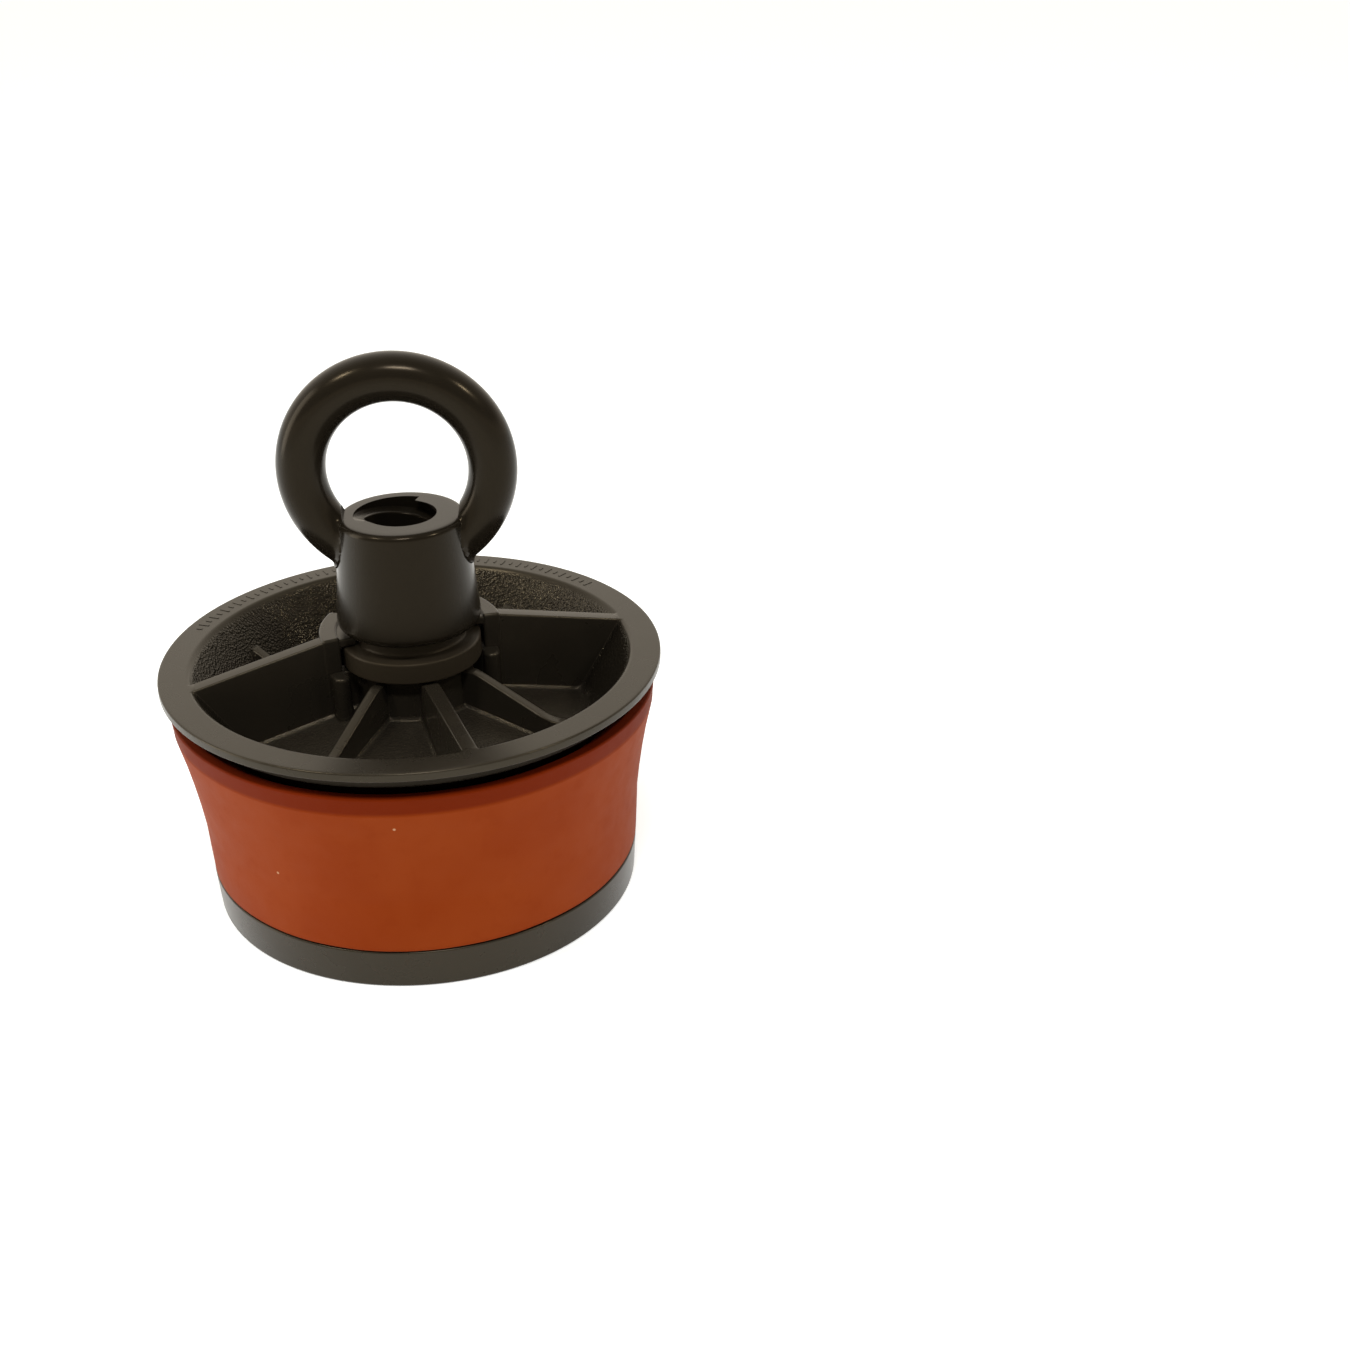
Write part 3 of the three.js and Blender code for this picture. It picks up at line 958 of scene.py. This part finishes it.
class DUCTPLUG_OT_seal_ring(bpy.types.Operator):
    """Makes the rubber ring, which sits between the plates; the real ring shortens there when the nut is
    turned
    """

    bl_idname = "duct_plug.seal_ring"
    bl_label = "Rubber ring"

    def execute(self, context):
        settings = context.scene.duct_plug_rubber
        crease = settings.crease / MM
        cone = FLOOR_RADIUS + DISH_WALL + CLEARANCE
        outline = [
            (SPIGOT_FOOT + CLEARANCE, SEAL_LOW.z, 0.3), (SEAL_FOOT, SEAL_LOW.z, 0.35), *SEAL_FLARE,
            (SEAL_NECK, crease - 0.2, 0.4), (SEAL_NECK, crease + 0.4, 0.3),
            (SEAL_HIGH.x, SEAL_HIGH.z, 0.5), (SEAL_LIP, SEAL_HIGH.z, 0.4),
            (50.4, 49.2, 0.8), (cone + CLEARANCE, 40.6, 1.2), (cone - 0.6, 38.6, 0.5), (42.0, 36, 0.5),
            (41.4, 26.5, 0.5),
        ]
        ring = turned("seal_ring_detail", closely(rounded(outline), 1.2), 288)
        ripple(ring)
        rubber_finish = material_once(
            "brick_orange_rubber", rubber, tuple(settings.tint), tuple(settings.pale), tuple(settings.deep),
            tuple(settings.lip), crease,
        )
        shaded(painted(ring, rubber_finish))
        start = (0, 0, (BASE_TOP + SPIGOT_HEIGHT) * MM)
        end = (0, 0, 0.040)
        fitted(ring, "seal_ring", "base", blend=("base", "plate", start, end))
        return {"FINISHED"}


def closely(outline, step):
    """The closed outline with points no further apart than step."""
    result = []
    for here, ahead in zip(outline, outline[1:] + outline[:1]):
        pieces = max(1, math.ceil(math.dist(here, ahead) / step))
        for i in range(pieces):
            result.append(tuple(np.array(here) + (np.array(ahead) - np.array(here)) * i / pieces))
    return result


def ripple(ring):
    """Makes the rubber's outside a little uneven, as a soft moulding is."""
    for vertex in ring.data.vertices:
        x, y, z = vertex.co / MM
        angle = math.atan2(y, x)
        outside = max(0.0, min(1.0, (math.hypot(x, y) - 49) / 2))
        wave = 0.07 * math.sin(3 * angle + 0.6) + 0.05 * math.sin(7 * angle + z * 0.06)
        lift = 0.06 * math.sin(5 * angle) + 0.05 * math.sin(13 * angle + 1.1)
        vertex.co.x += wave * outside * math.cos(angle) * MM
        vertex.co.y += wave * outside * math.sin(angle) * MM
        vertex.co.z += max(0.0, lift) * outside * MM


class DUCTPLUG_OT_eye_nut(bpy.types.Operator):
    """Makes the eye nut: a held disc, a neck, a threaded barrel and the pull ring"""

    bl_idname = "duct_plug.eye_nut"
    bl_label = "Eye nut"

    def execute(self, context):
        plastic = context.scene.duct_plug_plastic
        settings = context.scene.duct_plug_nut
        tint = tuple(plastic.nut_tint)
        pale = tuple(c * 1.12 for c in tint)
        # Below the barrel the nut is painted paler: painted light on its disc and neck.
        look = plastic.nut_gloss, tuple(plastic.nut_glint), 0.0, BARREL_BOTTOM - 1
        finish = material_once("glossy_nut_plastic", moulded_plastic, tint, pale, *look)
        outline = rounded([
            (5, NUT_LOW.z, 0), (DISC_RADIUS, NUT_LOW.z, 0.5), (DISC_RADIUS, DISC_TOP, 0.5),
            (NECK_RADIUS, DISC_TOP + 0.3, 0.7), (NECK_RADIUS, BARREL_BOTTOM, 0.7),
            (BARREL_RADIUS, BARREL_BOTTOM, 3.0), (MOUTH_RADIUS, BARREL_TOP, settings.bevel / MM),
            (5, BARREL_TOP, 0),
        ], 9)
        barrel = turned("eye_nut_detail", closely(outline, 1.5))
        ring = pull_ring(settings.fillet / MM)
        combined(ring, [bar("above", MOUTH_HOLE, BARREL_TOP, 96, 128)], "DIFFERENCE")
        combined(barrel, [ring], "UNION")
        bore = turned("bore", rounded([
            (ON_AXIS, 56, 0), (NUT_MAJOR, 56, 0), (NUT_MAJOR, BARREL_TOP, 0),
            (NUT_MAJOR + 0.6, BARREL_TOP + 0.6, 0), (ON_AXIS, BARREL_TOP + 0.6, 0),
        ]), 128)
        combined(barrel, [bore], "DIFFERENCE")
        values = thread_values(NUT_MINOR, NUT_MAJOR + 0.5, NUT_RIDGE, NUT_TURNS, 0, finish)
        ridge = outward(grown("ridge", thread_tree(), values))
        mouth = bar("mouth", CUTTER, BARREL_TOP, 120)
        foot = bar("foot", CUTTER, 20, NUT_LOW.z)
        combined(ridge, [mouth, foot], "DIFFERENCE")
        notch = sector("notch", 3, NUT_MAJOR + 0.1, 144, 184, BARREL_TOP - 1.6, BARREL_TOP + 1, 0.05)
        combined(ridge, [notch], "DIFFERENCE")
        combined(barrel, [ridge], "UNION")
        shaded(painted(barrel, finish), 35)
        fitted(barrel, "eye_nut", "nut")
        return {"FINISHED"}


def pull_ring(fillet):
    """The round ring, which flares where it runs into the barrel."""
    around = np.linspace(0, math.tau, 256, endpoint=False)[:, None]
    section = np.linspace(0, math.tau, 56, endpoint=False)[None, :]
    reach = EYE_RADIUS + EYE_TUBE * np.cos(section)
    points = np.stack([
        reach * np.cos(around), EYE_TUBE * np.sin(section) + 0 * around, EYE_HEIGHT + reach * np.sin(around),
    ], axis=-1)
    normal = np.stack([
        np.cos(section) * np.cos(around), np.sin(section) + 0 * around, np.cos(section) * np.sin(around),
    ], axis=-1)
    taper = (BARREL_RADIUS - MOUTH_RADIUS) / (BARREL_TOP - BARREL_BOTTOM)
    barrel = MOUTH_RADIUS + (BARREL_TOP - points[..., 2]) * taper
    gap = np.hypot(points[..., 0], points[..., 1]) - barrel
    below_mouth = np.clip((BARREL_TOP + 0.5 - points[..., 2]) / 3.0, 0, 1)
    near = np.clip(gap, 0, fillet)
    flare = 0.7 * (fillet - np.sqrt(np.maximum(fillet ** 2 - (fillet - near) ** 2, 0))) * below_mouth
    return grid_object("pull_ring", points + normal * flare[..., None])


def thread_values(inner, outer, widths, turns, phase, finish):
    """Inputs for a ridge between two radii whose phase is counted from the nut's mouth, in degrees."""
    start = THREAD_ANGLE_AT_TOP + phase
    return {
        "Radius": (inner + outer) / 2 * MM, "Lead": LEAD * MM, "Turns": turns, "Depth": (outer - inner) * MM,
        "Inner Width": widths[0] * MM, "Outer Width": widths[1] * MM, "Corner": RIDGE_CORNER * MM,
        "Start": math.radians(start - 360 * (turns - 1)), "Height": (BARREL_TOP - LEAD * (turns - 1)) * MM,
        "Points": 96, "Finish": finish,
    }


class DUCTPLUG_OT_stud(bpy.types.Operator):
    """Makes the stud, with its hexagonal head and coarse thread, and the O-ring under the head"""

    bl_idname = "duct_plug.stud"
    bl_label = "Stud and O-ring"

    def execute(self, context):
        plastic = context.scene.duct_plug_plastic
        tint = tuple(plastic.stud_tint)
        pale = tuple(c * 1.3 for c in tint)
        finish = material_once("black_stud_plastic", moulded_plastic, tint, pale, 0.4, (0.6, 0.6, 0.6))
        head = bevelled(hexagon("threaded_stud_detail", HEAD_FLATS, STUD_LOW.z, HEAD_TOP), 0.7, 3)
        core = turned("core", rounded([
            (ON_AXIS, 6, 0), (STUD_MINOR, 6, 0), (STUD_MINOR, STUD_HIGH.z, 1.2), (ON_AXIS, STUD_HIGH.z, 0),
        ]), 96)
        collar = turned("collar", rounded([
            (5, 6, 0), (COLLAR_RADIUS, 6, 0), (COLLAR_RADIUS, COLLAR_TOP, 0.8), (5, COLLAR_TOP, 0),
        ]), 96)
        values = thread_values(STUD_MINOR - 0.4, STUD_MAJOR, STUD_RIDGE, STUD_TURNS, 180, finish)
        ridge = outward(grown("ridge", thread_tree(), values))
        over = bar("over", CUTTER, STUD_HIGH.z - 0.4, 140)
        under = bar("under", CUTTER, -40, 26)
        combined(ridge, [over, under], "DIFFERENCE")
        combined(head, [core, collar, ridge], "UNION")
        shaded(painted(head, finish))
        fitted(head, "threaded_stud", "base")
        self.make_o_ring()
        return {"FINISHED"}

    def make_o_ring(self):
        black, worn, glint = (0.012,) * 3, (0.02,) * 3, (0.5,) * 3
        finish = material_once("black_ring_rubber", moulded_plastic, black, worn, 0.55, glint)
        cord = (ORING_HIGH.z - ORING_LOW.z) / 2
        pitch = ORING_HIGH.x - cord
        middle = (ORING_HIGH.z + ORING_LOW.z) / 2
        turns = [math.radians(15 * i) for i in range(24)]
        section = [(pitch + cord * math.cos(t), middle + cord * math.sin(t)) for t in turns]
        ring = turned("o_ring_detail", section, 128)
        shaded(painted(ring, finish))
        fitted(ring, "stud_o_ring", "base")


# ---------------------------------------------------------------- the stage

# The stage is laid out in metres.
FLOOR_HALF = 12.0
CAMERA_AT = Vector((0.03629, -0.38034, 0.24204))
CAMERA_AIM = Vector((0.06792, 0.09819, 0.0))
CAMERA_ROLL = -0.01119

# name, place and aim in metres, width and height in metres, power in watts, colour
LAMPS = (
    ("window_left", (-0.80, -0.05, 0.30), (0.0, 0.0, 0.06), 0.30, 0.6, 2.0, (1.0, 0.93, 0.80)),
    ("ceiling_left", (-0.50, -0.30, 0.80), (0.0, 0.0, 0.1), 0.08, 0.12, 2.0, (1.0, 0.92, 0.76)),
    ("ceiling_middle", (0.04, -0.46, 0.84), (0.0, 0.0, 0.1), 0.22, 0.08, 3.2, (1.0, 0.97, 0.95)),
    ("ceiling_right", (0.70, -0.28, 0.72), (0.0, 0.0, 0.1), 0.08, 0.12, 1.9, (1.0, 0.92, 0.76)),
)


def aimed(obj, place, aim):
    place = Vector(place)
    obj.location = place
    obj.rotation_mode = "QUATERNION"
    obj.rotation_quaternion = (Vector(aim) - place).to_track_quat("-Z", "Y")


def add_camera(scene, lens):
    data = bpy.data.cameras.new("camera")
    data.lens = lens
    data.sensor_width = 36
    camera = linked("camera", data)
    ahead = (CAMERA_AIM - CAMERA_AT).normalized()
    right = ahead.cross(Vector((0, 0, 1))).normalized()
    up = right.cross(ahead)
    roll_cos = math.cos(CAMERA_ROLL)
    roll_sin = math.sin(CAMERA_ROLL)
    across = right * roll_cos + up * roll_sin
    upward = up * roll_cos - right * roll_sin
    turn = Matrix((across, upward, -ahead)).transposed().to_4x4()
    turn.translation = CAMERA_AT
    camera.matrix_world = turn
    scene.camera = camera


def add_lamp(name, place, aim, width, height, power, tint):
    data = bpy.data.lights.new(name, "AREA")
    data.shape = "RECTANGLE"
    data.size = width
    data.size_y = height
    data.energy = power
    data.color = tint
    aimed(linked(name, data), place, aim)


def studio_light(strength):
    """Light from all round, brightest overhead and behind, and dim from the front."""
    world = bpy.data.worlds.new("studio")
    world.use_nodes = True
    tree = Tree(world.node_tree)
    direction = tree.add("ShaderNodeTexCoord", output="Generated")
    x, y, z = split(tree, direction)
    high = z.between(-0.1, 1.0)
    behind = (y - 0.15 * x).between(-0.35, 0.9)
    horizon = 1.0 - z.math("ABSOLUTE").between(0.10, 0.24)
    level = 0.03 + 0.24 * high + 0.92 * behind + horizon * (1.0 - behind) * 0.85
    colour = mixed(tree, high, (1.0, 0.90, 0.76, 1), (1.0, 0.94, 0.84, 1))
    glow = tree.add("ShaderNodeBackground", {"Color": colour, "Strength": level * strength})
    tree.add("ShaderNodeOutputWorld", {"Surface": glow})
    return world


class DUCTPLUG_OT_stage(bpy.types.Operator):
    """Makes the floor, the studio light and the camera"""

    bl_idname = "duct_plug.stage"
    bl_label = "Stage"

    def execute(self, context):
        scene = context.scene
        settings = scene.duct_plug_stage
        add_camera(scene, settings.lens)
        mesh = bpy.data.meshes.new("floor")
        corners = [(x * FLOOR_HALF, y * FLOOR_HALF, 0) for x, y in ((-1, -1), (1, -1), (1, 1), (-1, 1))]
        mesh.from_pydata(corners, [], [(0, 1, 2, 3)])
        floor = linked("floor", mesh)
        mesh.materials.append(floor_finish(tuple(settings.floor)))
        for lamp in LAMPS:
            add_lamp(*lamp)
        scene.world = studio_light(settings.sky)
        scene.view_settings.view_transform = "Standard"
        return {"FINISHED"}


# ---------------------------------------------------------------- the add-on

OPERATORS = (
    DUCTPLUG_OT_bottom_plate,
    DUCTPLUG_OT_stud,
    DUCTPLUG_OT_seal_ring,
    DUCTPLUG_OT_top_plate,
    DUCTPLUG_OT_eye_nut,
    DUCTPLUG_OT_stage,
)


class DUCTPLUG_PT_panel(bpy.types.Panel):
    """Lists the pieces and their settings"""

    bl_label = "Duct plug"
    bl_idname = "DUCTPLUG_PT_panel"
    bl_space_type = "VIEW_3D"
    bl_region_type = "UI"
    bl_category = "Duct plug"

    def draw(self, context):
        for operator in OPERATORS:
            self.layout.operator(operator.bl_idname)
        for name, group in SETTINGS.items():
            box = self.layout.box()
            for field in group.__annotations__:
                box.prop(getattr(context.scene, name), field)


CLASSES = (*SETTINGS.values(), *OPERATORS, DUCTPLUG_PT_panel)


def register():
    for item in CLASSES:
        bpy.utils.register_class(item)
    for name, group in SETTINGS.items():
        setattr(bpy.types.Scene, name, PointerProperty(type=group))


def unregister():
    for name in SETTINGS:
        delattr(bpy.types.Scene, name)
    for item in reversed(CLASSES):
        bpy.utils.unregister_class(item)


def main():
    register()
    bpy.ops.duct_plug.bottom_plate()
    bpy.ops.duct_plug.stud()
    bpy.ops.duct_plug.seal_ring()
    bpy.ops.duct_plug.top_plate()
    bpy.ops.duct_plug.eye_nut()
    bpy.ops.duct_plug.stage()


if __name__ == "__main__":
    main()
